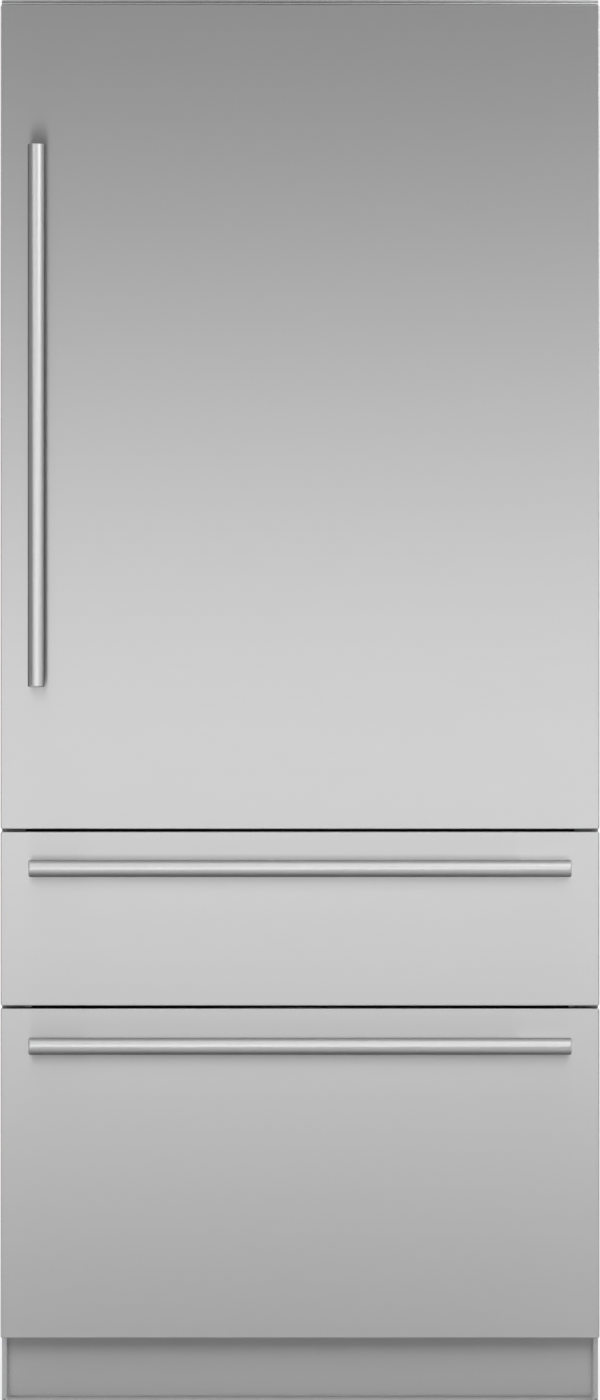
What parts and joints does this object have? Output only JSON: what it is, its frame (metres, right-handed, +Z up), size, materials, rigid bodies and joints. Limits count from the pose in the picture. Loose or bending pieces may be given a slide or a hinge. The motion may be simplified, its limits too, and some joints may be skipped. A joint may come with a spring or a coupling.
{
  "type": "fridge freezer",
  "caption": "Tall built-in fridge freezer: a large fridge door over drawers, brushed steel fronts with round bar handles and a recessed toe kick.",
  "frame": {"origin": "on the floor, at the middle of the footprint of the whole object with its bars", "axes": "+Z up, +Y to the back, +X to the right as seen from the front"},
  "size_m": [0.908, 0.699, 2.134],
  "materials": {
    "stainless": "satin",
    "bar_steel": "satin",
    "case_steel": "satin",
    "zinc_steel": "satin",
    "trim_aluminium": "satin",
    "foam": "matte",
    "liner": "satin",
    "clear_plastic": "gloss",
    "tub_plastic": "satin",
    "shelf_glass": "polished",
    "gasket": "matte",
    "black_shell": "gloss",
    "fin_aluminium": "satin",
    "dark_plastic": "matte",
    "panel_gloss": "gloss",
    "lens": "satin",
    "leg_steel": "satin"
  },
  "bodies": {
    "cabinet": {"outer_case": "case_steel", "rear_panel": "zinc_steel", "foam_insulation": "foam", "fridge_liner": "liner", "freezer_liner": "liner", "crossbars": "case_steel", "top_trim": "trim_aluminium", "base_frame": "zinc_steel", "toe_kick": "stainless", "compressor": "black_shell", "compressor_grommets": "gasket", "condenser": "fin_aluminium", "fan_shroud": "dark_plastic", "drain_pan": "dark_plastic", "machine_cover": "zinc_steel", "power_inlet": "dark_plastic", "evaporator": "fin_aluminium", "evaporator_cover": "liner", "fridge_duct": "liner", "control_panel": "panel_gloss", "ceiling_light": "lens", "shelf_ladders": "trim_aluminium", "shelf_panes": "shelf_glass", "shelf_frames": "trim_aluminium", "crisper_rails": "trim_aluminium", "hinge_brackets": "zinc_steel", "outer_slides": "zinc_steel"},
    "door": {"door_skin": "stainless", "door_panel": "liner", "door_gasket": "gasket", "door_bar": "bar_steel", "door_bar_feet": "bar_steel", "dairy_bin": "clear_plastic", "middle_door_bin": "clear_plastic", "lower_door_bin": "clear_plastic", "hinge_bushings": "dark_plastic"},
    "dairy_lid": {"dairy_lid": "clear_plastic"},
    "upper_drawer": {"upper_drawer_skin": "stainless", "upper_drawer_panel": "liner", "upper_drawer_gasket": "gasket", "upper_drawer_bar": "bar_steel", "upper_drawer_bar_feet": "bar_steel", "upper_drawer_tub": "tub_plastic", "upper_inner_slides": "zinc_steel"},
    "upper_middle_slides": {"upper_middle_slides": "zinc_steel"},
    "lower_drawer": {"lower_drawer_skin": "stainless", "lower_drawer_panel": "liner", "lower_drawer_gasket": "gasket", "lower_drawer_bar": "bar_steel", "lower_drawer_bar_feet": "bar_steel", "lower_drawer_tub": "tub_plastic", "lower_inner_slides": "zinc_steel"},
    "lower_middle_slides": {"lower_middle_slides": "zinc_steel"},
    "left_crisper": {"left_crisper": "clear_plastic"},
    "right_crisper": {"right_crisper": "clear_plastic"},
    "condenser_fan": {"condenser_fan": "dark_plastic"},
    "left_leg": {"left_leg": "leg_steel"},
    "right_leg": {"right_leg": "leg_steel"},
    "left_roller": {"left_roller": "dark_plastic"},
    "right_roller": {"right_roller": "dark_plastic"}
  },
  "joints": [
    {"name": "door_swing", "type": "hinge", "parent": "cabinet", "child": "door", "pos_m": [0.44, -0.265, 1.497], "axis": [0, 0, 1], "range_deg": [0, 105]},
    {"name": "dairy_lid_lift", "type": "hinge", "parent": "door", "child": "dairy_lid", "pos_m": [-0.196, -0.2355, 1.854], "axis": [1, 0, 0], "range_deg": [0, 90]},
    {"name": "upper_drawer_slide", "type": "slide", "parent": "cabinet", "child": "upper_drawer", "axis": [0, -1, 0], "range_m": [0, 0.42]},
    {"name": "upper_middle_slide", "type": "slide", "parent": "cabinet", "child": "upper_middle_slides", "axis": [0, -1, 0], "range_m": [0, 0.21]},
    {"name": "lower_drawer_slide", "type": "slide", "parent": "cabinet", "child": "lower_drawer", "axis": [0, -1, 0], "range_m": [0, 0.42]},
    {"name": "lower_middle_slide", "type": "slide", "parent": "cabinet", "child": "lower_middle_slides", "axis": [0, -1, 0], "range_m": [0, 0.21]},
    {"name": "left_crisper_slide", "type": "slide", "parent": "cabinet", "child": "left_crisper", "axis": [0, -1, 0], "range_m": [0, 0.22]},
    {"name": "right_crisper_slide", "type": "slide", "parent": "cabinet", "child": "right_crisper", "axis": [0, -1, 0], "range_m": [0, 0.22]},
    {"name": "condenser_fan_spin", "type": "hinge", "parent": "cabinet", "child": "condenser_fan", "pos_m": [-0.05, 0.2439, 0.14], "axis": [1, 0, 0], "continuous": true},
    {"name": "left_leg_screw", "type": "slide", "parent": "cabinet", "child": "left_leg", "axis": [0, 0, -1], "range_m": [0, 0.025]},
    {"name": "right_leg_screw", "type": "slide", "parent": "cabinet", "child": "right_leg", "axis": [0, 0, -1], "range_m": [0, 0.025]},
    {"name": "left_roller_spin", "type": "hinge", "parent": "cabinet", "child": "left_roller", "pos_m": [-0.425, 0.29, 0.028], "axis": [1, 0, 0], "continuous": true},
    {"name": "right_roller_spin", "type": "hinge", "parent": "cabinet", "child": "right_roller", "pos_m": [0.425, 0.29, 0.028], "axis": [1, 0, 0], "continuous": true}
  ],
  "couplings": [
    {"joint": "upper_middle_slide", "follows": "upper_drawer_slide", "ratio": 0.5},
    {"joint": "lower_middle_slide", "follows": "lower_drawer_slide", "ratio": 0.5},
    {"joint": "left_crisper_slide", "follows": "door_swing", "m_per_rad": 0.12},
    {"joint": "right_crisper_slide", "follows": "door_swing", "m_per_rad": 0.12}
  ]
}
